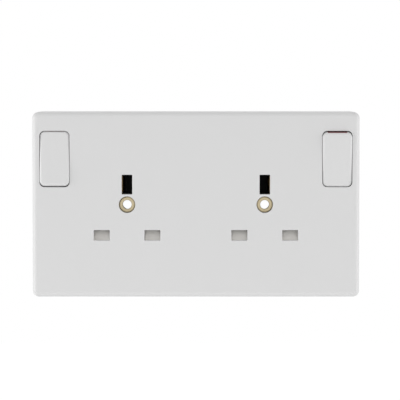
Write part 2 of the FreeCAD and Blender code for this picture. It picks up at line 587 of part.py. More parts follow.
# Rockers, each with its plunger and spring. The left one stands at off and the right one at on.
for side_name, side in SIDES:
    lean = 1 if side_name == "right" else -1
    rocker = new_body(f"rocker_{side_name}")
    nodes.append(rocker)
    half = "size.rocker_height / 2"
    under_cap = f"({rocker_face} - size.rocker_cap)"
    under_skirt = f"({rocker_face} - size.rocker_skirt)"
    inner_half = f"({half} + size.rocker_cap * tan(size.rocker_end_slope) - size.rocker_wall)"
    add(rocker, f"cap_{side_name}", [(outline, [
        (f"-{rocker_face}", f"-{half}"), (f"-{rocker_face}", half),
        (f"-{under_skirt}", skirt_half_height),
        (f"-{under_skirt}", f"{skirt_half_height} - size.rocker_wall"),
        (f"-{under_cap}", inner_half), (f"-{under_cap}", f"-{inner_half}"),
        (f"-{under_skirt}", f"size.rocker_wall - {skirt_half_height}"),
        (f"-{under_skirt}", f"-{skirt_half_height}"),
    ])], "-size.rocker_width / 2", "size.rocker_width / 2", plane="YZ_Plane")
    soften(rocker, f"corners_{side_name}", "size.rocker_corner",
           lambda edge: leaves_level(edge, number(rocker_face)))
    soften(rocker, f"edges_{side_name}", "size.rocker_edge",
           lambda edge: at_level(edge, number(rocker_face)))
    add(rocker, f"hub_{side_name}", [(circle, "0", "0", "size.hub_radius")],
        "-size.rocker_width / 2", "size.rocker_width / 2", plane="YZ_Plane")
    trunnion_half = f"({opening_half_width} + size.trunnion_reach)"
    add(rocker, f"trunnions_{side_name}", [(circle, "0", "0", "size.trunnion_radius")],
        f"-{trunnion_half}", trunnion_half, plane="YZ_Plane")
    add(rocker, f"stem_{side_name}", [(circle, "0", "0", "size.stem_radius")],
        "-size.stem_reach", under_cap)
    remove(rocker, f"bore_{side_name}",
           [(circle, "0", "0", "size.plunger_radius + size.plunger_clearance")],
           "-size.stem_reach", "size.stem_bore_rise")
    place(rocker, f"{side} * {switch_x}", pivot_level, switch_z, lean, "size.rocker_tilt")

    plunger = new_body(f"rocker_plunger_{side_name}")
    nodes.append(plunger)
    add(plunger, f"plunger_{side_name}", [(circle, "0", "0", "size.plunger_radius")],
        "-size.plunger_reach", "-size.plunger_head")
    soften(plunger, f"plunger_tip_{side_name}", "size.plunger_radius - size.plunger_clearance",
           lambda edge: at_level(edge, -number("size.plunger_reach")))
    place(plunger, f"{side} * {switch_x}", pivot_level, switch_z, lean, "size.rocker_tilt")

    spring = coil(f"rocker_spring_{side_name}", "-size.plunger_head",
                  "size.plunger_head + size.stem_bore_rise")
    nodes.append(spring)
    place(spring, f"{side} * {switch_x}", pivot_level, switch_z, 1, f"90 + {lean} * size.rocker_tilt")

# Moving contacts with their tips, and the fixed tips on the line supply bar.
for side_name, side in SIDES:
    lean = -1 if side_name == "right" else 1
    contact = new_body(f"moving_contact_{side_name}")
    nodes.append(contact)
    add(contact, f"strip_{side_name}",
        [(rectangle, "0", "0", "size.contact_width", f"2 * {contact_half_length}")],
        "size.contact_lift", "size.contact_lift + size.sheet_thickness")
    add(contact, f"web_{side_name}",
        [(rectangle, "0", "0", "size.contact_width", "size.contact_pin_radius")],
        "0", "size.contact_lift")
    pin_half = f"({strap_half_width} + size.ear_gap)"
    add(contact, f"pin_{side_name}", [(circle, "0", "0", "size.contact_pin_radius")],
        f"-{pin_half}", pin_half, plane="YZ_Plane")
    place(contact, f"{side} * {switch_x}", contact_level, switch_z, lean, "size.contact_tilt")

    moving_tip = new_body(f"moving_tip_{side_name}")
    nodes.append(moving_tip)
    add(moving_tip, f"button_{side_name}", [(circle, "0", "size.contact_reach", "size.tip_radius")],
        "size.contact_lift - size.tip_height", "size.contact_lift")
    place(moving_tip, f"{side} * {switch_x}", contact_level, switch_z, lean, "size.contact_tilt")

    fixed_tip = new_body(f"fixed_tip_{side_name}")
    nodes.append(fixed_tip)
    add(fixed_tip, f"stud_{side_name}", [(circle, "0", "0", "size.tip_radius")], bar_top, fixed_tip_top)
    place(fixed_tip, f"{side} * {switch_x}", "0", fixed_tip_z)

# Line supply bar: across the top to both fixed tips, with a tab over the line terminal.
supply = new_body("line_supply_bar")
nodes.append(supply)
supply_end = f"({switch_x} + {strap_half_width})"
supply_low = f"({fixed_tip_z} - size.supply_bar_width / 2)"
supply_high = f"({fixed_tip_z} + size.supply_bar_width / 2)"
supply_foot = f"(size.line_terminal_rise - {terminal_half})"
add(supply, "supply_strip", [(outline, [
    (f"-{supply_end}", supply_high), (f"-{supply_end}", supply_low),
    (f"-{terminal_half}", supply_low), (f"-{terminal_half}", supply_foot),
    (terminal_half, supply_foot), (terminal_half, supply_low),
    (supply_end, supply_low), (supply_end, supply_high),
])], "size.cover_thickness", bar_top)


def jaw(owner, name, across):
    """A sprung jaw for a flat pin, standing on a strip."""
    foot = "size.jaw_foot"
    pinch = "size.jaw_pinch"
    mouth = "size.jaw_mouth"
    leaf = "size.jaw_leaf"
    upper = [
        (f"-{bar_top}", f"{pin_z} + {foot}"), (f"-{pinch_level}", f"{pin_z} + {pinch}"),
        (f"-{mouth_level}", f"{pin_z} + {mouth}"), (f"-{mouth_level}", f"{pin_z} + {mouth} + {leaf}"),
        (f"-{pinch_level}", f"{pin_z} + {pinch} + {leaf}"), (f"-{bar_top}", f"{pin_z} + {foot} + {leaf}"),
        ("-size.cover_thickness", f"{pin_z} + {foot} + {leaf}"),
    ]
    lower = [
        ("-size.cover_thickness", f"{pin_z} - {foot} - {leaf}"),
        (f"-{bar_top}", f"{pin_z} - {foot} - {leaf}"), (f"-{pinch_level}", f"{pin_z} - {pinch} - {leaf}"),
        (f"-{mouth_level}", f"{pin_z} - {mouth} - {leaf}"), (f"-{mouth_level}", f"{pin_z} - {mouth}"),
        (f"-{pinch_level}", f"{pin_z} - {pinch}"), (f"-{bar_top}", f"{pin_z} - {foot}"),
    ]
    add(owner, name, [(outline, upper + lower)],
        f"{across} - size.jaw_width / 2", f"{across} + size.jaw_width / 2", plane="YZ_Plane")


def pivot_ears(owner, name, side):
    """Two notched ears of a line strap that carry the pin of a moving contact."""
    add(owner, f"ears_{name}",
        [(rectangle, f"{side} * {switch_x} + {ear} * {ear_x}", switch_z,
          "size.ear_thickness", "size.ear_width") for _, ear in SIDES],
        bar_top, contact_level)
    remove(owner, f"notches_{name}",
           [(circle, f"-{contact_level}", switch_z,
             "size.contact_pin_radius + size.contact_pin_clearance")],
           f"{side} * {switch_x} - {strap_half_width}", f"{side} * {switch_x} + {strap_half_width}",
           plane="YZ_Plane")


# Switched line straps: from each moving contact to the line jaw of its outlet.
jaw_half = "(size.jaw_width / 2)"
jaw_high = f"({pin_z} + size.jaw_foot + size.jaw_leaf)"
jaw_low = f"({pin_z} - size.jaw_foot - size.jaw_leaf)"
run_high = "(size.strap_width / 2 - size.strap_drop)"
run_low = "(-size.strap_width / 2 - size.strap_drop)"
left_strap = new_body("line_strap_left")
nodes.append(left_strap)
add(left_strap, "left_strip", [(outline, [
    (f"-{switch_x} - {strap_half_width}", strap_top_z), (f"-{switch_x} - {strap_half_width}", run_low),
    (f"{line_x_left} + {jaw_half}", run_low), (f"{line_x_left} + {jaw_half}", jaw_high),
    (f"{line_x_left} - {jaw_half}", jaw_high), (f"{line_x_left} - {jaw_half}", run_high),
    (f"-{switch_x} + {strap_half_width}", run_high), (f"-{switch_x} + {strap_half_width}", strap_top_z),
])], "size.cover_thickness", bar_top)
pivot_ears(left_strap, "left", "-1")
jaw(left_strap, "line_jaw_left", line_x_left)
right_strap = new_body("line_strap_right")
nodes.append(right_strap)
add(right_strap, "right_strip", [(outline, [
    (f"{switch_x} + {strap_half_width}", strap_top_z), (f"{switch_x} - {strap_half_width}", strap_top_z),
    (f"{switch_x} - {strap_half_width}", jaw_high), (f"{line_x_right} - {jaw_half}", jaw_high),
    (f"{line_x_right} - {jaw_half}", jaw_low), (f"{switch_x} + {strap_half_width}", jaw_low),
])], "size.cover_thickness", bar_top)
pivot_ears(right_strap, "right", "1")
jaw(right_strap, "line_jaw_right", line_x_right)

# Neutral bar: both neutral jaws and a tab over the neutral terminal.
neutral = new_body("neutral_bar")
nodes.append(neutral)
neutral_high = "(size.neutral_bar_width / 2 - size.neutral_bar_drop)"
neutral_low = "(-size.neutral_bar_width / 2 - size.neutral_bar_drop)"
neutral_foot = f"(-size.neutral_terminal_drop - {terminal_half})"
add(neutral, "neutral_strip", [(outline, [
    (f"{neutral_x_left} - {jaw_half}", neutral_high), (f"{neutral_x_left} - {jaw_half}", jaw_low),
    (f"{neutral_x_left} + {jaw_half}", jaw_low), (f"{neutral_x_left} + {jaw_half}", neutral_low),
    (f"-{terminal_half}", neutral_low), (f"-{terminal_half}", neutral_foot),
    (terminal_half, neutral_foot), (terminal_half, neutral_low),
    (f"{neutral_x_right} - {jaw_half}", neutral_low), (f"{neutral_x_right} - {jaw_half}", jaw_low),
    (f"{neutral_x_right} + {jaw_half}", jaw_low), (f"{neutral_x_right} + {jaw_half}", neutral_high),
])], "size.cover_thickness", bar_top)
jaw(neutral, "neutral_jaw_left", neutral_x_left)
jaw(neutral, "neutral_jaw_right", neutral_x_right)

# Earth bar: held by the eyelets, with a jaw behind each earth slot and a leg to each earth terminal.
earth = new_body("earth_bar")
nodes.append(earth)
leg_high = f"(size.earth_terminal_rise + {terminal_half} + size.sheet_thickness)"
run_foot = f"({leg_high} - size.earth_bar_width)"
pad_out = f"({outlet_x} + size.earth_pad_width / 2)"
pad_in = f"({outlet_x} - size.earth_pad_width / 2)"
pad_low = "(-size.fixing_boss_radius)"
pad_high = "(size.earth_slot_rise + size.earth_slot_height / 2 + size.earth_pad_margin)"
add(earth, "earth_strip", [(outline, [
    (f"-{pad_out}", pad_low), (f"-{pad_in}", pad_low), (f"-{pad_in}", run_foot), (pad_in, run_foot),
    (pad_in, pad_low), (pad_out, pad_low), (pad_out, pad_high), (pad_in, pad_high),
    (pad_in, leg_high), (f"-{pad_in}", leg_high), (f"-{pad_in}", pad_high), (f"-{pad_out}", pad_high),
])], "size.earth_bar_level", earth_bar_front)
add(earth, "earth_legs",
    [(rectangle, f"{side} * size.earth_terminal_offset", f"{leg_high} - size.sheet_thickness / 2",
      "size.earth_leg_width", "size.sheet_thickness") for _, side in SIDES],
    "size.cover_thickness", "size.earth_bar_level")
add(earth, "earth_feet",
    [(rectangle, f"{side} * size.earth_terminal_offset", f"{leg_high} - {terminal_half}",
      "size.earth_leg_width", "size.terminal_size") for _, side in SIDES],
    "size.cover_thickness", bar_top)
window_half = "(size.earth_slot_width / 2 + size.earth_window_gap)"
leaf_end = "(size.earth_bar_level - size.earth_leaf_length)"
leaf_pinch = f"({leaf_end} + size.jaw_flare)"
for side_name, side in SIDES:
    for leaf_name, leaf in SIDES:
        middle = f"{side} * {outlet_x}"
        add(earth, f"earth_leaf_{side_name}_{leaf_name}", [(outline, [
            (f"{middle} + {leaf} * {window_half}", f"-{earth_bar_front}"),
            (f"{middle} + {leaf} * size.jaw_pinch", f"-{leaf_pinch}"),
            (f"{middle} + {leaf} * {window_half}", f"-{leaf_end}"),
            (f"{middle} + {leaf} * ({window_half} + size.jaw_leaf)", f"-{leaf_end}"),
            (f"{middle} + {leaf} * (size.jaw_pinch + size.jaw_leaf)", f"-{leaf_pinch}"),
            (f"{middle} + {leaf} * ({window_half} + size.jaw_leaf)", f"-{earth_bar_front}"),
        ])], "size.earth_slot_rise - size.earth_leaf_width / 2",
            "size.earth_slot_rise + size.earth_leaf_width / 2", plane="XY_Plane")
remove(earth, "earth_windows",
       [(rectangle, f"{side} * {outlet_x}", "size.earth_slot_rise", f"2 * {window_half}",
         "size.earth_slot_height + 2 * size.earth_window_gap") for _, side in SIDES],
       "size.earth_bar_level", earth_bar_front)
remove(earth, "eyelet_seats",
       [(circle, f"{side} * {outlet_x}", "0", f"{eyelet_tube} + size.eyelet_clearance")
        for _, side in SIDES],
       "size.earth_bar_level", earth_bar_front)

# Eyelets: they rivet the earth bar to the fixing bosses and take the fixing screws.
for side_name, side in SIDES:
    eyelet = new_body(f"fixing_eyelet_{side_name}")
    nodes.append(eyelet)
    head_level = f"({seat_level} + size.eyelet_flange)"
    roll_level = "(size.earth_bar_level - size.eyelet_roll)"
    head_radius = "(size.head_recess_radius - size.eyelet_head_gap)"
    roll_radius = f"({eyelet_tube} + size.eyelet_flange)"
    turn(eyelet, f"eyelet_{side_name}", [
        ("size.eyelet_tube_bore", roll_level), (roll_radius, roll_level),
        (roll_radius, "size.earth_bar_level"), (eyelet_tube, "size.earth_bar_level"),
        (eyelet_tube, seat_level), (head_radius, seat_level),
        (head_radius, head_level), ("size.eyelet_bore", head_level),
        ("size.eyelet_bore", seat_level), ("size.eyelet_tube_bore", seat_level),
    ])
    soften(eyelet, f"eyelet_rounds_{side_name}", "size.eyelet_wall",
           lambda edge: at_level(edge, number(head_level)))
    place(eyelet, f"{side} * {outlet_x}", "0", "0")

# Shutters with their springs and keepers.
for side_name, side in SIDES:
    shutter = new_body(f"shutter_{side_name}")
    nodes.append(shutter)
    add(shutter, f"shutter_bar_{side_name}",
        [(rectangle, "0", f"({shutter_low} + {tongue_low}) / 2", "size.shutter_width", "size.shutter_bar")],
        shutter_back, shutter_front)
    for tongue_name, tongue in SIDES:
        add(shutter, f"tongue_{side_name}_{tongue_name}", [(outline, [
            (f"-{shutter_back}", tongue_low), (f"-{shutter_back}", tongue_high),
            (f"-{shutter_back} - size.shutter_tip", tongue_high), (f"-{shutter_front}", tongue_low),
        ])], f"{tongue} * {pin_x} - size.shutter_tongue / 2",
            f"{tongue} * {pin_x} + size.shutter_tongue / 2", plane="YZ_Plane")
    place(shutter, f"{side} * {outlet_x}", "0", "0")

    spring = coil(f"shutter_spring_{side_name}", "0", "size.shutter_spring_length")
    nodes.append(spring)
    place(spring, f"{side} * {outlet_x}", shutter_middle, stop_z)

    keeper = new_body(f"shutter_keeper_{side_name}")
    nodes.append(keeper)
    add(keeper, f"keeper_plate_{side_name}",
        [(rectangle, "0", f"({keeper_low} + {keeper_high}) / 2",
          f"2 * {rail_x} + size.rail_width", f"{keeper_high} - {keeper_low}")],
        keeper_back, keeper_front)
    remove(keeper, f"keeper_windows_{side_name}",
           [(rectangle, f"{pin} * {pin_x}", pin_z, "size.pin_slot_width + 2 * size.keeper_window_gap",
             "size.pin_slot_height + 2 * size.keeper_window_gap") for _, pin in SIDES],
           keeper_back, keeper_front)
    place(keeper, f"{side} * {outlet_x}", "0", "0")

# Terminals with their clamp screws. The wires come along Z.
for terminal_name, across, up, entry in TERMINALS:
    kind, _, side_name = terminal_name.partition("_")
    suffix = f"_{side_name}" if side_name else ""
    terminal = new_body(f"{kind}_terminal{suffix}")
    nodes.append(terminal)
    add(terminal, f"block_{terminal_name}",
        [(rectangle, "0", "0", "size.terminal_size", "size.terminal_size")],
        "-size.terminal_depth", "size.cover_thickness")
    remove(terminal, f"wire_hole_{terminal_name}", [(circle, "0", "size.wire_depth", "size.wire_bore")],
           f"-{terminal_half}", terminal_half, plane="XY_Plane")
    remove(terminal, f"clamp_hole_{terminal_name}",
           [(circle, "0", "0", "size.clamp_radius + size.clamp_clearance")],
           "-size.terminal_depth", "-size.wire_depth")
    place(terminal, across, "0", up)

    clamp = new_body(f"{kind}_terminal_screw{suffix}")
    nodes.append(clamp)
    add(clamp, f"clamp_head_{terminal_name}", [(circle, "0", "0", "size.clamp_head_radius")],
        clamp_back, clamp_seat)
    add(clamp, f"clamp_shank_{terminal_name}", [(circle, "0", "0", "size.clamp_radius")],
        clamp_seat, "-size.wire_depth - size.wire_bore - size.clamp_stop")
    remove(clamp, f"clamp_slot_{terminal_name}",
           [(rectangle, "0", "0", "2 * size.clamp_head_radius", "size.driver_slot")],
           clamp_back, f"{clamp_back} + size.driver_slot")
    place(clamp, across, "0", up)

doc.removeObject(trial.Name)
doc.recompute()

for made in doc.Objects:
    if "Invalid" in made.State or "Error" in made.State:
        raise RuntimeError(f"{made.Label} did not build: {made.State}")
os.makedirs("parts", exist_ok=True)
for node in nodes:
    if node.Shape.isNull() or not node.Shape.isValid():
        raise RuntimeError(f"{node.Label} has no valid shape")
    node.Shape.exportStep(f"parts/{node.Label}.step")
    print(node.Label, round(node.Shape.Volume, 2), len(node.Shape.Solids))
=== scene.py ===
# %% [markdown]
# # A twin wall socket, from bare solids to a finished product
# The construction arrives as solids at their real size: a white front moulding, two rockers, shutters,
# brass parts and a black back cover. This lesson gives each of them the surface of its real material, and
# adds the small turned and coiled parts that the solids only stand for. Lengths in the file are metres, as
# in the frame, and `MM` turns a size in millimetres into them.

# %% Load the frame
import json
import math

import bmesh
import bpy
from mathutils import Matrix, Vector


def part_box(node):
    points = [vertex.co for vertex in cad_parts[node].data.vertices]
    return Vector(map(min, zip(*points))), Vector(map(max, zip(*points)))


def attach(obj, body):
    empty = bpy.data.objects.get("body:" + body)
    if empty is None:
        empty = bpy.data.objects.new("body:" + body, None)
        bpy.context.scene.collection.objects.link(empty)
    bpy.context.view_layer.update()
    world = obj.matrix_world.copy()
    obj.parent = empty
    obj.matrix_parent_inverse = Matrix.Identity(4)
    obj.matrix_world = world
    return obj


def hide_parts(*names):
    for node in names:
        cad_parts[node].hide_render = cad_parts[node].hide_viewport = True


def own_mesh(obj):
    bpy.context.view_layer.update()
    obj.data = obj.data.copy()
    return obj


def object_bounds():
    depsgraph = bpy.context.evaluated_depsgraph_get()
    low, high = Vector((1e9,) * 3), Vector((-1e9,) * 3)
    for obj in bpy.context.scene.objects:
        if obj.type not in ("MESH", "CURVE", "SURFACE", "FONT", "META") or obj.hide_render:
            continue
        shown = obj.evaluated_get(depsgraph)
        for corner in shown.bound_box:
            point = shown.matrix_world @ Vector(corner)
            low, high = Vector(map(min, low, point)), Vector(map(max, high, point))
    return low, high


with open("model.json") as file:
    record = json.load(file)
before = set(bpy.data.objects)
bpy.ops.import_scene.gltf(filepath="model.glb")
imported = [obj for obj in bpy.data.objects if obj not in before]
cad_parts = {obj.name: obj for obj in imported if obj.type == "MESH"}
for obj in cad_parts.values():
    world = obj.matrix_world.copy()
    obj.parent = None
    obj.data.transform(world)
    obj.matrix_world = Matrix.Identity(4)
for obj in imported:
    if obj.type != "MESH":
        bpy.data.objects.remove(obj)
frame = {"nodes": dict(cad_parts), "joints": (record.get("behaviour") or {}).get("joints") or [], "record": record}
cad_low, cad_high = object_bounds()
nodes = frame["nodes"]
joints = {joint["name"]: joint for joint in frame["joints"]}
MM = 0.001
SIDES = ("left", "right")
print(len(nodes), "solids, box in mm:", [round(length / MM, 1) for length in cad_high - cad_low])

# %% [markdown]
# ## Small helpers for every material
# A colour is written as the hex value that a paint program shows, so it has to be turned into linear light
# first. A pattern's scale in Blender counts repeats per metre, while a maker thinks in millimetres, so
# `per_metre` turns one into the other. `add` puts any node into a tree: a value that is another node's
# output is linked, and any other value is set on the socket. `new_material` starts a material with a single
# shader and the coordinates that its patterns will follow.

# %% Helpers for node trees
# A mix of colours takes its factor and two colours at these inputs, and gives the result at this output.
FACTOR, FIRST, SECOND, MIXED = 0, 6, 7, 2


def linear(hex_colour):
    """An sRGB hex colour as linear red, green, blue and an alpha of one."""
    channels = [int(hex_colour[start:start + 2], 16) / 255 for start in (1, 3, 5)]
    curve = [value / 12.92 if value <= 0.04045 else ((value + 0.055) / 1.055) ** 2.4 for value in channels]
    return (*curve, 1.0)


def per_metre(size_mm):
    """How often a pattern of this size repeats in a metre."""
    return 1 / (size_mm * MM)


def add(tree, kind, settings=None, sockets=None):
    """Add a node, set its properties, and link or set its inputs."""
    made = tree.nodes.new(kind)
    for name, value in (settings or {}).items():
        setattr(made, name, value)
    for name, value in (sockets or {}).items():
        if isinstance(value, bpy.types.NodeSocket):
            tree.links.new(value, made.inputs[name])
        else:
            made.inputs[name].default_value = value
    return made


def new_material(name, constants):
    """A material with one surface shader. Gives it, its tree, the shader and the object's coordinates."""
    made = bpy.data.materials.new(name)
    made.use_nodes = True
    tree = made.node_tree
    tree.nodes.clear()
    shader = add(tree, "ShaderNodeBsdfPrincipled", sockets=constants)
    add(tree, "ShaderNodeOutputMaterial", sockets={"Surface": shader.outputs["BSDF"]})
    place = add(tree, "ShaderNodeTexCoord").outputs["Object"]
    return made, tree, shader, place


print("mid grey #808080 is", round(linear("#808080")[0], 3), "in linear light")

# %% [markdown]
# ## White urea moulding
# The front is pressed from urea powder in a polished steel mould. That gives an even, neutral white with a
# half gloss, and a faint unevenness that bends reflections a little, called orange peel. One noise texture
# could do it all, but the real surface has two scales: the peel, and slow changes of gloss where the powder
# flowed. So the bump reads a small pattern and the roughness a large one. The real peel is about half a
# millimetre wide, too fine for a picture of the whole socket, so it is drawn coarser.

# %% White urea moulding
PEEL_MM = 1.6
PEEL_HEIGHT = 0.004 * MM
FLOW_MM = 22.0
# Nearly all values of a noise texture lie in this span.
NOISE_SPAN = {"From Min": 0.3, "From Max": 0.7}


def mould_finish(tree, shader, place, colours, roughness, peel_mm=PEEL_MM, peel_height=PEEL_HEIGHT):
    """Give a shader the colour, uneven gloss and peel of a moulded surface. Gives the colour's outlet."""
    flow = add(tree, "ShaderNodeTexNoise", sockets={
        "Vector": place, "Scale": per_metre(FLOW_MM), "Detail": 3.0, "Roughness": 0.55})
    tint = add(tree, "ShaderNodeMix", {"data_type": "RGBA"}, {
        FACTOR: flow.outputs["Fac"], FIRST: linear(colours[0]), SECOND: linear(colours[1])})
    tree.links.new(tint.outputs[MIXED], shader.inputs["Base Color"])
    spread = add(tree, "ShaderNodeMapRange", sockets={
        "Value": flow.outputs["Fac"], **NOISE_SPAN, "To Min": roughness[0], "To Max": roughness[1]})
    tree.links.new(spread.outputs["Result"], shader.inputs["Roughness"])
    peel = add(tree, "ShaderNodeTexNoise", sockets={
        "Vector": place, "Scale": per_metre(peel_mm), "Detail": 2.0})
    bump = add(tree, "ShaderNodeBump", sockets={
        "Strength": 1.0, "Distance": peel_height, "Height": peel.outputs["Fac"]})
    tree.links.new(bump.outputs["Normal"], shader.inputs["Normal"])
    return tint.outputs[MIXED]


def plain_moulding(name, ior, colours, roughness):
    """A moulded plastic with no pattern beside the finish of its mould."""
    made, tree, shader, place = new_material(name, {"IOR": ior})
    mould_finish(tree, shader, place, colours, roughness)
    return made


front_white = plain_moulding("white_urea_moulding", 1.5, ("#D8D8D8", "#DADADA"), (0.36, 0.46))
print(front_white.name, "peel", PEEL_MM, "mm, flow", FLOW_MM, "mm")

# %% [markdown]
# ## Rockers with a red end
# A rocker comes from a mould of its own, a little glossier than the plate. Its top end carries a red field
# that shows in the gap when the switch is on. A second mesh could carry the red, but on the real one it is
# only a coat of ink, so the material paints it. The rocker leans, so a Mapping node first undoes that lean
# about the pivot. Then the field is plainly where the height is near the top end and the width is inside
# the corners.

# %% Rocker material
# A rocker is upright halfway along its joint's range, so at rest it leans the other way by half of it.
ROCKER_LEAN = {side: -math.radians(sum(joints[f"{side}_switch"]["range_deg"]) / 2) for side in SIDES}
FIELD_INK = "#804648"
FIELD_FLOOR = 11.7 * MM
FIELD_HALF_WIDTH = 4.3 * MM
FIELD_BLUR = 0.08 * MM


def white_rocker(side):
    """Glossy white urea with a field of red ink on the top end."""
    made, tree, shader, place = new_material(f"white_rocker_urea_{side}", {"IOR": 1.5})
    white = mould_finish(tree, shader, place, ("#D9D9D9", "#DBDBDB"), (0.30, 0.38))
    pivot = joints[f"{side}_switch"]["pos_m"]
    upright = add(tree, "ShaderNodeMapping", {"vector_type": "TEXTURE"}, {
        "Vector": place, "Location": pivot, "Rotation": (ROCKER_LEAN[side], 0, 0)})
    axes = add(tree, "ShaderNodeSeparateXYZ", sockets={"Vector": upright.outputs["Vector"]}).outputs
    high = add(tree, "ShaderNodeMapRange", sockets={
        "Value": axes["Z"], "From Min": FIELD_FLOOR, "From Max": FIELD_FLOOR + FIELD_BLUR})
    off_middle = add(tree, "ShaderNodeMath", {"operation": "ABSOLUTE"}, {0: axes["X"]}).outputs[0]
    inside = add(tree, "ShaderNodeMapRange", sockets={
        "Value": off_middle, "From Min": FIELD_HALF_WIDTH, "From Max": FIELD_HALF_WIDTH - FIELD_BLUR})
    field = add(tree, "ShaderNodeMath", {"operation": "MULTIPLY"}, {
        0: high.outputs["Result"], 1: inside.outputs["Result"]})
    inked = add(tree, "ShaderNodeMix", {"data_type": "RGBA"}, {
        FACTOR: field.outputs[0], FIRST: white, SECOND: linear(FIELD_INK)})
    tree.links.new(inked.outputs[MIXED], shader.inputs["Base Color"])
    return made


rocker_white = {side: white_rocker(side) for side in SIDES}
print("lean in degrees:", {side: round(math.degrees(lean), 1) for side, lean in ROCKER_LEAN.items()})

# %% [markdown]
# ## Black phenolic
# The back cover is pressed from phenolic powder: black, nearly matte, with faint pale specks of filler. It
# takes the same moulded finish with a deeper peel, and a cell pattern adds the specks. Marks in relief get
# a second, greyer tone of the phenolic: a painted highlight, so that they stand out from the black as if lit.

# %% Black phenolic
PRESSED_MM = 1.1
PRESSED_HEIGHT = 0.01 * MM
SPECK_MM = 0.9
# A speck is full up to the first distance from its middle and gone at the second, as shares of its size.
SPECK_FULL, SPECK_GONE = 0.1, 0.22
FILLER = "#2A2A2B"


def phenolic_moulding(name, colours):
    """Pressed phenolic: dark and nearly matte, with specks of filler."""
    made, tree, shader, place = new_material(name, {"IOR": 1.6, "Specular IOR Level": 0.4})
    plain = mould_finish(tree, shader, place, colours, (0.5, 0.66), PRESSED_MM, PRESSED_HEIGHT)
    grains = add(tree, "ShaderNodeTexVoronoi", sockets={"Vector": place, "Scale": per_metre(SPECK_MM)})
    specks = add(tree, "ShaderNodeMapRange", sockets={
        "Value": grains.outputs["Distance"], "From Min": SPECK_GONE, "From Max": SPECK_FULL})
    specked = add(tree, "ShaderNodeMix", {"data_type": "RGBA"}, {
        FACTOR: specks.outputs["Result"], FIRST: plain, SECOND: linear(FILLER)})
    tree.links.new(specked.outputs[MIXED], shader.inputs["Base Color"])
    return made


cover_black = phenolic_moulding("black_phenolic_moulding", ("#1A1A1C", "#1E1E20"))
# Painted highlight: the relief marks get a paler grey copy of the phenolic, so that they stand out as if lit.
painted_highlight_phenolic = phenolic_moulding("phenolic_relief_painted_highlight", ("#5A5A5C", "#666668"))
print("phenolic:", cover_black.name, "and", painted_highlight_phenolic.name)

# %% [markdown]
# ## Grey acetal and pale nylon
# The plungers and keepers are grey acetal, which looks waxy and even. The shutters are a pale, slightly
# warm nylon, matte so that they don't shine out of the slots. Neither has a pattern of its own, so the plain
# moulded finish does for both.

# %% Acetal and nylon
guide_grey = plain_moulding("grey_acetal_moulding", 1.48, ("#8A8B8A", "#949492"), (0.42, 0.55))
shutter_pale = plain_moulding("pale_nylon_moulding", 1.53, ("#FAF7F2", "#FCF9F4"), (0.5, 0.62))
print("inner mouldings:", guide_grey.name, "and", shutter_pale.name)

# %% [markdown]
# ## Rolled and drawn metals
# Sheet brass is rolled, so it has fine streaks along the strip and a few darker, tarnished patches. The
# screws are zinc plated, the springs are drawn wire and the contact tips a silver alloy. A metal's colour is
# all in its reflection, so each one has metallic at one, a base colour, and a roughness that streaks change.
# The streaks come from noise that a Mapping node stretches along the strip. Real rolling lines are
# hair-fine, so these are drawn a few times coarser. Hollows such as a screw's slot get painted shade: an
# occlusion node darkens the colour where little space is open around. A bright metal in a white room would
# otherwise show no slot at all.

# %% Rolled and drawn metals
STREAK_MM = (9.0, 1.2, 0.5)
STREAK_HEIGHT = 0.003 * MM
TARNISH_MM = 6.0
TARNISH_SPAN = {"From Min": 0.35, "From Max": 0.68}
HOLLOW_MM = 1.0
# How open a spot is, from full painted shade to none, and the share of colour that the darkest painted shade
# leaves.
HOLLOW_SPAN = {"From Min": 0.35, "From Max": 0.8}
DEEPEST_PAINTED_SHADE = 0.22


def drawn_metal(name, colours, roughness, streak_mm=STREAK_MM):
    """A metal with streaks along X and painted shade in its hollows. The sizes are of one streak along each axis.
    """
    made, tree, shader, place = new_material(name, {"Metallic": 1.0})
    stretched = add(tree, "ShaderNodeMapping", sockets={
        "Vector": place, "Scale": [per_metre(size) for size in streak_mm]})
    streaks = add(tree, "ShaderNodeTexNoise", sockets={
        "Vector": stretched.outputs["Vector"], "Scale": 1.0, "Detail": 4.0, "Roughness": 0.6})
    spread = add(tree, "ShaderNodeMapRange", sockets={
        "Value": streaks.outputs["Fac"], **NOISE_SPAN, "To Min": roughness[0], "To Max": roughness[1]})
    tree.links.new(spread.outputs["Result"], shader.inputs["Roughness"])
    patches = add(tree, "ShaderNodeTexNoise", sockets={
        "Vector": place, "Scale": per_metre(TARNISH_MM), "Detail": 3.0})
    tarnish = add(tree, "ShaderNodeMapRange", sockets={"Value": patches.outputs["Fac"], **TARNISH_SPAN})
    tint = add(tree, "ShaderNodeMix", {"data_type": "RGBA"}, {
        FACTOR: tarnish.outputs["Result"], FIRST: linear(colours[0]), SECOND: linear(colours[1])})
    # Painted shade: an occlusion node darkens the colour in hollows, such as a screw's slot, where shade falls.
    hollows = add(tree, "ShaderNodeAmbientOcclusion", {"only_local": True}, {"Distance": HOLLOW_MM * MM})
    painted_shade = add(tree, "ShaderNodeMapRange", sockets={
        "Value": hollows.outputs["AO"], **HOLLOW_SPAN, "To Min": DEEPEST_PAINTED_SHADE})
    shaded_tint = add(tree, "ShaderNodeMix", {"data_type": "RGBA", "blend_type": "MULTIPLY"}, {
        FACTOR: 1.0, FIRST: tint.outputs[MIXED], SECOND: painted_shade.outputs["Result"]})
    tree.links.new(shaded_tint.outputs[MIXED], shader.inputs["Base Color"])
    bump = add(tree, "ShaderNodeBump", sockets={
        "Strength": 1.0, "Distance": STREAK_HEIGHT, "Height": streaks.outputs["Fac"]})
    tree.links.new(bump.outputs["Normal"], shader.inputs["Normal"])
    return made


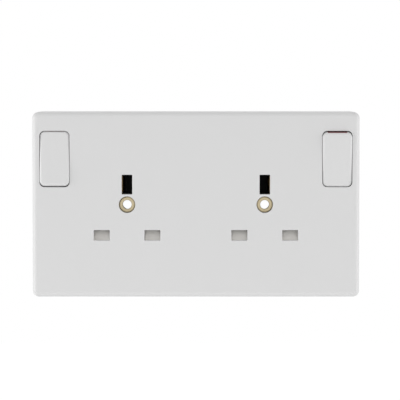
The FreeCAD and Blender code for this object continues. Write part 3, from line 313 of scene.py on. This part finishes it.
sheet_brass = drawn_metal("rolled_sheet_brass", ("#B99D68", "#967B4E"), (0.26, 0.42))
zinc_plate = drawn_metal("zinc_plated_steel", ("#C3C5C4", "#AEB0AC"), (0.28, 0.42), (1.5, 1.5, 1.5))
spring_wire = drawn_metal("drawn_spring_steel", ("#8E9094", "#76787C"), (0.3, 0.45), (2.0, 0.6, 0.6))
contact_silver = drawn_metal("silver_contact_alloy", ("#D2D1CC", "#BDBBB4"), (0.3, 0.48), (0.8, 0.8, 0.8))
print("metals:", [made.name for made in (sheet_brass, zinc_plate, spring_wire, contact_silver)])

# %% [markdown]
# ## Eyelet brass
# The eyelets are thin brass tube, rolled over in a tool and left dull, with faint rings around the hole. A
# wave texture draws rings, but about one middle only, and there is an eyelet on each side. Two materials
# could do it. Here the width loses its sign and then the eyelet's own distance from the middle, so that the
# same rings lie around both holes.

# %% Eyelet brass
RING_MM = 0.35
RING_HEIGHT = 0.006 * MM
BLOTCH_MM = 2.2
# A wave texture goes through this many radians for each unit of length at a scale of one.
WAVE_BASE = 20.0
RING_SCALE = per_metre(RING_MM) * math.tau / WAVE_BASE


def middle(node):
    """The middle of a solid's box."""
    low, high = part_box(node)
    return (low + high) / 2


def eyelet_brass(eyelet_x):
    """Dull rolled brass tube: pale, with faint rings around the hole that the rolling tool left."""
    made, tree, shader, place = new_material("dull_eyelet_brass", {"Metallic": 1.0})
    axes = add(tree, "ShaderNodeSeparateXYZ", sockets={"Vector": place}).outputs
    off_centre = add(tree, "ShaderNodeMath", {"operation": "ABSOLUTE"}, {0: axes["X"]}).outputs[0]
    across = add(tree, "ShaderNodeMath", {"operation": "SUBTRACT"}, {0: off_centre, 1: eyelet_x}).outputs[0]
    around = add(tree, "ShaderNodeCombineXYZ", sockets={"X": across, "Z": axes["Z"]}).outputs["Vector"]
    rings = add(tree, "ShaderNodeTexWave", {"wave_type": "RINGS", "rings_direction": "SPHERICAL"}, {
        "Vector": around, "Scale": RING_SCALE, "Distortion": 0.6}).outputs["Fac"]
    polish = add(tree, "ShaderNodeMapRange", sockets={"Value": rings, "To Min": 0.38, "To Max": 0.5})
    tree.links.new(polish.outputs["Result"], shader.inputs["Roughness"])
    blotches = add(tree, "ShaderNodeTexNoise", sockets={
        "Vector": place, "Scale": per_metre(BLOTCH_MM), "Detail": 3.0})
    tint = add(tree, "ShaderNodeMix", {"data_type": "RGBA"}, {
        FACTOR: blotches.outputs["Fac"], FIRST: linear("#D0C3A4"), SECOND: linear("#C1B393")})
    tree.links.new(tint.outputs[MIXED], shader.inputs["Base Color"])
    bump = add(tree, "ShaderNodeBump", sockets={"Strength": 1.0, "Distance": RING_HEIGHT, "Height": rings})
    tree.links.new(bump.outputs["Normal"], shader.inputs["Normal"])
    return made


ring_brass = eyelet_brass(middle("fixing_eyelet_right").x)
print(ring_brass.name, "around", round(middle("fixing_eyelet_right").x / MM, 2), "mm from the middle")

# %% [markdown]
# ## Dress the solids
# Each solid already has a material slot from the record, so the slot's name says which finish it gets. Only
# the rockers differ from side to side, because the red field is placed from each rocker's own pivot.

# %% Materials for the solids
FINISH = {
    "white_moulding": front_white,
    "dark_moulding": cover_black,
    "grey_moulding": guide_grey,
    "shutter_moulding": shutter_pale,
    "brass": sheet_brass,
    "eyelet_brass": ring_brass,
    "silver_alloy": contact_silver,
    "spring_steel": spring_wire,
    "plated_steel": zinc_plate,
}
for subpart in frame["record"]["subparts"]:
    name, slot = subpart["node"], subpart["material_slot"]
    finish = FINISH[slot] if slot in FINISH else rocker_white[name.removeprefix("rocker_")]
    nodes[name].data.materials.clear()
    nodes[name].data.materials.append(finish)

# %% [markdown]
# ## Growing pieces with Geometry Nodes
# Springs and screws follow a rule: a wire goes round and rises, a thread does the same on a shank. Geometry
# Nodes can hold that rule with a few named sizes. `start_tree` makes a tree with those inputs, and `grow`
# puts it on an object, sets the sizes, and then keeps the result as a plain mesh with nothing left to
# evaluate.


# %% Helpers for grown pieces
def start_tree(name, sizes):
    """A geometry tree with a named number input for each size. Gives the tree and its inputs' outlets."""
    tree = bpy.data.node_groups.new(name, "GeometryNodeTree")
    tree.interface.new_socket("Geometry", in_out="INPUT", socket_type="NodeSocketGeometry")
    for size in sizes:
        tree.interface.new_socket(size, in_out="INPUT", socket_type="NodeSocketFloat")
    tree.interface.new_socket("Finish", in_out="INPUT", socket_type="NodeSocketMaterial")
    tree.interface.new_socket("Geometry", in_out="OUTPUT", socket_type="NodeSocketGeometry")
    return tree, add(tree, "NodeGroupInput").outputs


def end_tree(tree, geometry, finish):
    """End a tree: make instances real, set the material and put the result out."""
    real = add(tree, "GeometryNodeRealizeInstances", sockets={"Geometry": geometry})
    painted = add(tree, "GeometryNodeSetMaterial", sockets={
        "Geometry": real.outputs["Geometry"], "Material": finish})
    add(tree, "NodeGroupOutput", sockets={"Geometry": painted.outputs["Geometry"]})


def put(name, data):
    """Put a mesh, text, lamp or camera into the scene as an object at the origin."""
    made = bpy.data.objects.new(name, data)
    bpy.context.scene.collection.objects.link(made)
    return made


def shown_mesh(host):
    """What an object shows once it is evaluated, as a plain mesh."""
    bpy.context.view_layer.update()
    return bpy.data.meshes.new_from_object(host.evaluated_get(bpy.context.evaluated_depsgraph_get()))


def grow(name, tree, points, sizes, finish):
    """Run a tree on a few points and keep what it makes as a plain mesh object at the origin."""
    seeds = bpy.data.meshes.new(f"{name}_points")
    seeds.from_pydata([tuple(point) for point in points], [], [])
    host = put(name, seeds)
    modifier = host.modifiers.new("grow", "NODES")
    modifier.node_group = tree
    for item in tree.interface.items_tree:
        if item.in_out == "INPUT" and item.name in sizes:
            modifier[item.identifier] = float(sizes[item.name])
        elif item.in_out == "INPUT" and item.name == "Finish":
            modifier[item.identifier] = finish
    mesh = shown_mesh(host)
    host.modifiers.remove(modifier)
    host.data = mesh
    mesh.name = name
    return host


print("helpers for grown pieces are ready")

# %% [markdown]
# ## Coil springs
# The solids stand for the springs with square wire. Here a circle of wire is swept along a spiral. On a real
# spring the last turn at each end lies flat against its neighbour, so the height doesn't rise evenly: a
# curve over the length of the wire lets it rise slowly at both ends.

# %% The spring tree
COIL_STEPS = 28
WIRE_SIDES = 10
# The share of the wire in each closed end, and the share of the height that it rises there.
CLOSED_SHARE = 0.14
CLOSED_RISE = 0.06

coil_tree, coil = start_tree("coil_spring", ["Turns", "Radius", "Height", "Wire"])
spiral = add(coil_tree, "GeometryNodeCurveSpiral", sockets={
    "Resolution": COIL_STEPS, "Rotations": coil["Turns"], "Height": 0.0,
    "Start Radius": coil["Radius"], "End Radius": coil["Radius"]})
along = add(coil_tree, "GeometryNodeSplineParameter").outputs["Factor"]
rise = add(coil_tree, "ShaderNodeFloatCurve", sockets={"Value": along})
rise_curve = rise.mapping.curves[0]
rise_curve.points.new(CLOSED_SHARE, CLOSED_RISE)
rise_curve.points.new(1 - CLOSED_SHARE, 1 - CLOSED_RISE)
for point in rise_curve.points:
    point.handle_type = "AUTO_CLAMPED"
rise.mapping.update()
height = add(coil_tree, "ShaderNodeMath", {"operation": "MULTIPLY"}, {
    0: rise.outputs["Value"], 1: coil["Height"]})
lift = add(coil_tree, "ShaderNodeCombineXYZ", sockets={"Z": height.outputs[0]})
risen = add(coil_tree, "GeometryNodeSetPosition", sockets={
    "Geometry": spiral.outputs["Curve"], "Offset": lift.outputs["Vector"]})
wire_radius = add(coil_tree, "ShaderNodeMath", {"operation": "DIVIDE"}, {0: coil["Wire"], 1: 2.0})
section = add(coil_tree, "GeometryNodeCurvePrimitiveCircle", sockets={
    "Resolution": WIRE_SIDES, "Radius": wire_radius.outputs[0]})
swept = add(coil_tree, "GeometryNodeCurveToMesh", sockets={
    "Curve": risen.outputs["Geometry"], "Profile Curve": section.outputs["Curve"], "Fill Caps": True})
wound = add(coil_tree, "GeometryNodeInstanceOnPoints", sockets={
    "Points": coil["Geometry"], "Instance": swept.outputs["Mesh"]})
end_tree(coil_tree, wound.outputs["Instances"], coil["Finish"])
print("the spring tree has", len(coil_tree.nodes), "nodes")

# %% [markdown]
# ## Setting the springs in place
# A small compression spring pushes each shutter shut, and a shorter one pushes each rocker's plunger. The
# shutter's spring stands upright in the box of its solid.
# The plunger's spring lies along the rocker, so it is turned to the front and leans with the rocker.

# %% Springs
WIRE = 0.5 * MM
SHUTTER_TURNS = 8.5
PLUNGER_TURNS = 4.0
# Where the plunger's spring starts and ends, counted from the rocker's pivot towards the front.
PLUNGER_START = -2.5 * MM
PLUNGER_END = 1.5 * MM

for side in SIDES:
    low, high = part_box(f"shutter_spring_{side}")
    centre = middle(f"shutter_spring_{side}")
    coil_radius = (high.x - low.x) / 2 - WIRE / 2
    shutter_coil = grow(f"shutter_coil_{side}", coil_tree, [(centre.x, centre.y, low.z + WIRE / 2)], {
        "Turns": SHUTTER_TURNS, "Radius": coil_radius, "Height": high.z - low.z - WIRE, "Wire": WIRE,
    }, spring_wire)
    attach(shutter_coil, "housing")
    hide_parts(f"shutter_spring_{side}")
    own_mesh(shutter_coil)

    rocker_coil = grow(f"rocker_coil_{side}", coil_tree, [(0, 0, PLUNGER_START + WIRE / 2)], {
        "Turns": PLUNGER_TURNS, "Radius": coil_radius, "Wire": WIRE,
        "Height": PLUNGER_END - PLUNGER_START - WIRE,
    }, spring_wire)
    towards_front = Matrix.Rotation(math.radians(90) + ROCKER_LEAN[side], 4, "X")
    pivot = Matrix.Translation(joints[f"{side}_switch"]["pos_m"])
    rocker_coil.data.transform(pivot @ towards_front)
    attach(rocker_coil, f"{side}_rocker")
    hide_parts(f"rocker_spring_{side}")
    print(side, "springs:", len(shutter_coil.data.polygons), "and", len(rocker_coil.data.polygons), "faces")

# %% [markdown]
# ## The shape of a screw
# Two kinds of screw show on the back: six countersunk ones that hold the cover, with a cross recess, and
# four slotted clamp screws in the terminals. Modelling each by hand would hide how alike they are. Both are
# a round bar whose radius changes with the depth below the head's top, and the thread is a groove that
# turns with the angle. So a list of plain sums, one node each, gives the radius of either screw at any
# point.

# %% Sums for a screw
SCREW_SIZES = [
    "Head Radius", "Head Height", "Head Edge", "Countersunk", "Shank Radius", "Length", "Pitch",
    "Thread Depth", "Recess Length", "Recess Width", "Recess Depth", "Cross", "Seed"]
# Each row names a result, the sum that gives it, and the two terms of that sum.
SCREW_SUMS = [
    ("half length", "MULTIPLY", "Length", 0.5),
    ("depth", "SUBTRACT", "half length", "z"),
    ("angle", "ARCTAN2", "y", "x"),
    ("turn", "DIVIDE", "angle", math.tau),
    ("threads", "DIVIDE", "depth", "Pitch"),
    ("phase", "ADD", "threads", "turn"),
    ("half groove", "PINGPONG", "phase", 0.5),
    ("share", "MULTIPLY", "half groove", 2.0),
    ("groove", "MULTIPLY", "share", "Thread Depth"),
    ("threaded", "SUBTRACT", "Shank Radius", "groove"),
    ("to tip", "SUBTRACT", "Length", "depth"),
    ("tip radius", "MULTIPLY", "Shank Radius", 0.5),
    ("tip cone", "ADD", "to tip", "tip radius"),
    ("shank", "MINIMUM", "threaded", "tip cone"),
    ("edge start", "SUBTRACT", "Head Radius", "Head Edge"),
    ("edge slope", "ADD", "edge start", "depth"),
    ("cheese", "MINIMUM", "Head Radius", "edge slope"),
    ("sunk slope", "SUBTRACT", "Head Radius", "depth"),
    ("sunk", "MAXIMUM", "sunk slope", "shank"),
    ("in head", "LESS_THAN", "depth", "Head Height"),
    ("off head", "SUBTRACT", 1.0, "in head"),
    ("head part", "MULTIPLY", "in head", "cheese"),
    ("shank part", "MULTIPLY", "off head", "shank"),
    ("cheese screw", "ADD", "head part", "shank part"),
    ("not sunk", "SUBTRACT", 1.0, "Countersunk"),
    ("cheese share", "MULTIPLY", "not sunk", "cheese screw"),
    ("sunk share", "MULTIPLY", "Countersunk", "sunk"),
    ("radius", "ADD", "cheese share", "sunk share"),
    ("wide x", "MULTIPLY", "x", "radius"),
    ("wide y", "MULTIPLY", "y", "radius"),
    ("below", "MULTIPLY", "depth", -1.0),
    ("cutter height", "MULTIPLY", "Recess Depth", 2.0),
]
print(len(SCREW_SUMS), "sums from", len(SCREW_SIZES), "sizes give a screw its shape")

# %% [markdown]
# ## The screw tree
# The tree starts from a tube of radius one, widens every ring of it by the sums, and cuts the driver's
# recess with a boolean. The quick solver can lose the body of a screw where rings lie close together, so the
# exact one is asked for. Each screw is turned by a chance angle, as they are after tightening, with a fixed
# seed so that every run gives the same ones.

# %% The screw tree
RING_POINTS = 36
RINGS = 96
CUT_OUT = {"operation": "DIFFERENCE", "solver": "EXACT"}

screw_tree, screw = start_tree("threaded_screw", SCREW_SIZES)
blank = add(screw_tree, "GeometryNodeMeshCylinder", {"fill_type": "TRIANGLE_FAN"}, {
    "Vertices": RING_POINTS, "Side Segments": RINGS, "Radius": 1.0, "Depth": screw["Length"]})
spot = add(screw_tree, "GeometryNodeInputPosition").outputs["Position"]
axes = add(screw_tree, "ShaderNodeSeparateXYZ", sockets={"Vector": spot}).outputs
values = {**{name: screw[name] for name in SCREW_SIZES}, "x": axes["X"], "y": axes["Y"], "z": axes["Z"]}
for name, operation, *terms in SCREW_SUMS:
    inputs = {place: values[term] if isinstance(term, str) else term for place, term in enumerate(terms)}
    values[name] = add(screw_tree, "ShaderNodeMath", {"operation": operation}, inputs).outputs[0]
widened = add(screw_tree, "ShaderNodeCombineXYZ", sockets={
    "X": values["wide x"], "Y": values["wide y"], "Z": values["below"]})
turned = add(screw_tree, "GeometryNodeSetPosition", sockets={
    "Geometry": blank.outputs["Mesh"], "Position": widened.outputs["Vector"]})
cutters = []
for length, width in (("Recess Length", "Recess Width"), ("Recess Width", "Recess Length")):
    extent = add(screw_tree, "ShaderNodeCombineXYZ", sockets={
        "X": screw[length], "Y": screw[width], "Z": values["cutter height"]})
    cutters.append(add(screw_tree, "GeometryNodeMeshCube", sockets={"Size": extent.outputs["Vector"]}))
second = add(screw_tree, "GeometryNodeSwitch", {"input_type": "GEOMETRY"}, {
    "Switch": screw["Cross"], "True": cutters[1].outputs["Mesh"]})
slotted = add(screw_tree, "GeometryNodeMeshBoolean", CUT_OUT, {
    "Mesh 1": turned.outputs["Geometry"], "Mesh 2": cutters[0].outputs["Mesh"]})
crossed = add(screw_tree, "GeometryNodeMeshBoolean", CUT_OUT, {
    "Mesh 1": slotted.outputs["Mesh"], "Mesh 2": second.outputs["Output"]})
chance = add(screw_tree, "FunctionNodeRandomValue", {"data_type": "FLOAT"}, {
    "Max": math.tau, "Seed": screw["Seed"]})
stance = add(screw_tree, "ShaderNodeCombineXYZ", sockets={"X": -math.pi / 2, "Y": chance.outputs[1]})
set_in = add(screw_tree, "GeometryNodeInstanceOnPoints", sockets={
    "Points": screw["Geometry"], "Instance": crossed.outputs["Mesh"], "Rotation": stance.outputs["Vector"]})
end_tree(screw_tree, set_in.outputs["Instances"], screw["Finish"])
print("the screw tree has", len(screw_tree.nodes), "nodes")

# %% [markdown]
# ## Setting the screws in place
# The solids say where the screws sit. The six cover screws share one node, so their places are the corners
# of its box, drawn in by the head's radius, and halfway between them. Each clamp screw has a node of its
# own, whose box gives its axis and the width of its head.

# %% Cover screws
COVER_HEAD = 2.6 * MM

low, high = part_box("cover_screws")
columns = [low.x + COVER_HEAD, (low.x + high.x) / 2, high.x - COVER_HEAD]
rows = [low.z + COVER_HEAD, high.z - COVER_HEAD]
cover_screws = grow("cover_screws_crossed", screw_tree, [(x, high.y, z) for x in columns for z in rows], {
    "Head Radius": COVER_HEAD, "Head Height": 1.4 * MM, "Countersunk": 1, "Shank Radius": 1.2 * MM,
    "Length": high.y - low.y, "Pitch": 1.0 * MM, "Thread Depth": 0.28 * MM, "Recess Length": 2.9 * MM,
    "Recess Width": 0.7 * MM, "Recess Depth": 1.0 * MM, "Cross": 1, "Seed": 3,
}, zinc_plate)
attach(cover_screws, "housing")
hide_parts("cover_screws")
print(cover_screws.name, len(cover_screws.data.polygons), "faces")

# %% Clamp screws
# The slot's cutter is this much longer than the head is wide, so that the slot is open at both ends.
SLOT_OVERRUN = 1.0 * MM

clamp_nodes = [name for name in nodes if "_terminal_screw" in name]
clamp_tops = [(middle(name).x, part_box(name)[1].y, middle(name).z) for name in clamp_nodes]
low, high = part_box(clamp_nodes[0])
clamp_screws = grow("clamp_screws_slotted", screw_tree, clamp_tops, {
    "Head Radius": (high.x - low.x) / 2, "Head Height": 1.8 * MM, "Head Edge": 0.3 * MM,
    "Shank Radius": 1.7 * MM, "Length": high.y - low.y, "Pitch": 0.7 * MM, "Thread Depth": 0.22 * MM,
    "Recess Length": high.x - low.x + SLOT_OVERRUN, "Recess Width": 0.8 * MM, "Recess Depth": 0.9 * MM,
    "Seed": 5,
}, zinc_plate)
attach(clamp_screws, "housing")
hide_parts(*clamp_nodes)
print(clamp_screws.name, len(clamp_screws.data.polygons), "faces")

# %% [markdown]
# ## Letters on the back
# Whoever wires the socket has to see which terminal takes which wire, so a raised mark is moulded beside
# each one: L for line and N for neutral. A printed mark would only need paint in the material, but these are
# in relief and catch the light, so they are meshes. A letter starts as text, which already has good
# outlines.

# %% Letters
MARK_HEIGHT = 5.0 * MM
MARK_RISE = 0.4 * MM
MARK_SINK = 0.1 * MM
MARK_THICKNESS = MARK_RISE + MARK_SINK
MARK_MIDDLE = (MARK_RISE - MARK_SINK) / 2
# Each letter: its terminal, and how far it stands to the side of that terminal's middle and above it.
LETTERS = [("L", "line_terminal", -10.6 * MM, -0.5 * MM), ("N", "neutral_terminal", 10.6 * MM, 0.5 * MM)]

marks = bmesh.new()
for letter, terminal, aside, above in LETTERS:
    outline = bpy.data.curves.new(f"letter_{letter}", "FONT")
    outline.body = letter
    outline.size = MARK_HEIGHT
    outline.align_x = "CENTER"
    outline.align_y = "CENTER"
    outline.extrude = MARK_THICKNESS / 2
    writing = put(f"letter_{letter}", outline)
    shape = shown_mesh(writing)
    across, up = middle(terminal).x + aside, middle(terminal).z + above
    facing_back = Matrix(((-1, 0, 0, across), (0, 0, 1, MARK_MIDDLE), (0, 1, 0, up), (0, 0, 0, 1)))
    shape.transform(facing_back)
    marks.from_mesh(shape)
    bpy.data.objects.remove(writing)
print(len(LETTERS), "letters with", len(marks.verts), "corners")

# %% [markdown]
# ## Earth signs
# The mark of an earth terminal is a stem on three bars, each shorter than the one above. It stands below
# each of the two earth terminals. The bars are plain boxes, because the relief is only a few tenths of a
# millimetre high. All marks then become one mesh on the cover.

# %% Earth signs
SIGN_DROP = 11.2 * MM
# Each bar of the sign: its height above the sign's middle, its width and its thickness in millimetres.
SIGN_BARS = [(1.3, 0.55, 2.4), (0.0, 4.6, 0.55), (-1.05, 3.0, 0.55), (-2.1, 1.4, 0.55)]
MERGE_DISTANCE = 0.001 * MM

for side in SIDES:
    terminal = middle(f"earth_terminal_{side}")
    for above, width, thick in SIGN_BARS:
        size = Matrix.Diagonal((width * MM, MARK_THICKNESS, thick * MM, 1))
        spot = Matrix.Translation((terminal.x, MARK_MIDDLE, terminal.z - SIGN_DROP + above * MM))
        bmesh.ops.create_cube(marks, size=1.0, matrix=spot @ size)
bmesh.ops.remove_doubles(marks, verts=marks.verts, dist=MERGE_DISTANCE)
bmesh.ops.recalc_face_normals(marks, faces=marks.faces)
mark_mesh = bpy.data.meshes.new("terminal_marks")
marks.to_mesh(mark_mesh)
marks.free()
# The marks take the paler phenolic, a painted highlight.
mark_mesh.materials.append(painted_highlight_phenolic)
terminal_marks = put("terminal_marks", mark_mesh)
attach(terminal_marks, "housing")
print(terminal_marks.name, len(mark_mesh.polygons), "faces")

# %% [markdown]
# ## Floor
# The picture is a product shot on white. The floor and the world are white where the camera looks at them,
# directly or in a reflection, and lend a plain light level otherwise. Such a socket is fixed on a wall, so
# the floor lies 0.45 m below its middle, about the usual height. A floor at its lower edge would also darken
# that edge. The floor mixes a little of its own shaded surface into the white, which keeps the shadow.

# %% Floor
FLOOR_SIZE = 6.0
FLOOR_DROP = 0.45
SHADE_SHARE = 0.14
# Slightly over one, so that the mix with the shaded surface is white outside the shadow.
FLOOR_WHITE = 1.1


def seen_directly(tree):
    """One for a ray from the camera, off metal or through glass, and zero for light that falls on things."""
    path = add(tree, "ShaderNodeLightPath").outputs
    mirrored = add(tree, "ShaderNodeMath", {"operation": "MAXIMUM"}, {
        0: path["Is Camera Ray"], 1: path["Is Glossy Ray"]})
    return add(tree, "ShaderNodeMath", {"operation": "MAXIMUM"}, {
        0: mirrored.outputs[0], 1: path["Is Transmission Ray"]}).outputs[0]


floor_paint = bpy.data.materials.new("pale_floor_paint")
floor_paint.use_nodes = True
tree = floor_paint.node_tree
tree.nodes.clear()
shaded = add(tree, "ShaderNodeBsdfDiffuse", sockets={"Color": linear("#F2F2F2")})
white = add(tree, "ShaderNodeEmission", sockets={"Color": linear("#FFFFFF"), "Strength": FLOOR_WHITE})
share = add(tree, "ShaderNodeMath", {"operation": "MULTIPLY"}, {0: seen_directly(tree), 1: 1 - SHADE_SHARE})
mixed = add(tree, "ShaderNodeMixShader", sockets={
    0: share.outputs[0], 1: shaded.outputs["BSDF"], 2: white.outputs["Emission"]})
add(tree, "ShaderNodeOutputMaterial", sockets={"Surface": mixed.outputs["Shader"]})

floor_mesh = bpy.data.meshes.new("pale_floor")
half = FLOOR_SIZE / 2
corners = [(-half, -half), (half, -half), (half, half), (-half, half)]
floor_mesh.from_pydata([(x, y, -FLOOR_DROP) for x, y in corners], [], [(0, 1, 2, 3)])
floor_mesh.materials.append(floor_paint)
floor = put("pale_floor", floor_mesh)
print("floor", FLOOR_DROP, "m below the middle")

# %% [markdown]
# ## World
# The world is a white tent around the socket. A little less light comes from above than from the sides, so
# the top edge is the darkest. A ray's height, from minus one straight down to one straight up, sets the
# light, and a ray that is seen directly finds plain white.

# %% World
TENT_HEIGHTS = {"From Min": 0.1, "From Max": 0.9}
SIDE_LIGHT = 0.91
TOP_LIGHT = 0.62

world = bpy.data.worlds.new("white_tent")
bpy.context.scene.world = world
world.use_nodes = True
tree = world.node_tree
tree.nodes.clear()
direction = add(tree, "ShaderNodeTexCoord").outputs["Generated"]
height = add(tree, "ShaderNodeSeparateXYZ", sockets={"Vector": direction}).outputs["Z"]
tent = add(tree, "ShaderNodeMapRange", sockets={
    "Value": height, **TENT_HEIGHTS, "To Min": SIDE_LIGHT, "To Max": TOP_LIGHT})
light = add(tree, "ShaderNodeBackground", sockets={
    "Color": linear("#FFFFFF"), "Strength": tent.outputs["Result"]})
backdrop = add(tree, "ShaderNodeBackground", sockets={"Color": linear("#FFFFFF"), "Strength": 1.0})
mixed = add(tree, "ShaderNodeMixShader", sockets={
    0: seen_directly(tree), 1: light.outputs["Background"], 2: backdrop.outputs["Background"]})
add(tree, "ShaderNodeOutputWorld", sockets={"Surface": mixed.outputs["Shader"]})
print("light from the sides", SIDE_LIGHT, "and from above", TOP_LIGHT)

# %% [markdown]
# ## Lamps
# A tent alone lights every side nearly alike, and the plate would look flat. A lamp on each side and a weak
# one below make the side edges and the lower edge shine, as in the photograph. They are large and soft, so
# they leave no hard shadow in the slots.

# %% Lamps
# Each lamp: where it stands, its width in metres and its power in watts.
LAMPS = {
    "left_softbox": ((-0.85, -0.25, 0.0), 0.6, 2.72),
    "right_softbox": ((0.85, -0.25, 0.0), 0.6, 2.03),
    "low_softbox": ((0.0, -0.3, -0.4), 0.4, 0.33),
}
for name, (place, size, power) in LAMPS.items():
    lamp = bpy.data.lights.new(name, "AREA")
    lamp.shape = "SQUARE"
    lamp.size = size
    lamp.energy = power
    holder = put(name, lamp)
    holder.location = place
    holder.rotation_euler = (-Vector(place)).to_track_quat("-Z", "Y").to_euler()
print("lamps:", ", ".join(LAMPS))

# %% [markdown]
# ## Camera
# The picture was taken almost square on, a little from above: the upper edge shows a trace of the top side.
# A long lens keeps the far and near edges alike. The aim and the lens follow from where the plate's edges
# fall in a square picture.

# %% Camera
VIEW_DISTANCE = 0.7
VIEW_ELEVATION = math.radians(2.2)
AIM = Vector((1.79 * MM, cad_low.y, 2.11 * MM))
LENS_MM = 144.4
SENSOR_MM = 36.0
NEAREST = 0.01

lens = bpy.data.cameras.new("camera")
lens.lens = LENS_MM
lens.sensor_width = SENSOR_MM
lens.clip_start = NEAREST
camera = put("camera", lens)
back = Vector((0, -math.cos(VIEW_ELEVATION), math.sin(VIEW_ELEVATION)))
camera.location = AIM + back * VIEW_DISTANCE
camera.rotation_euler = (-back).to_track_quat("-Z", "Y").to_euler()
bpy.context.scene.camera = camera
bpy.context.scene.view_settings.view_transform = "Standard"
print("camera at", [round(value, 4) for value in camera.location])
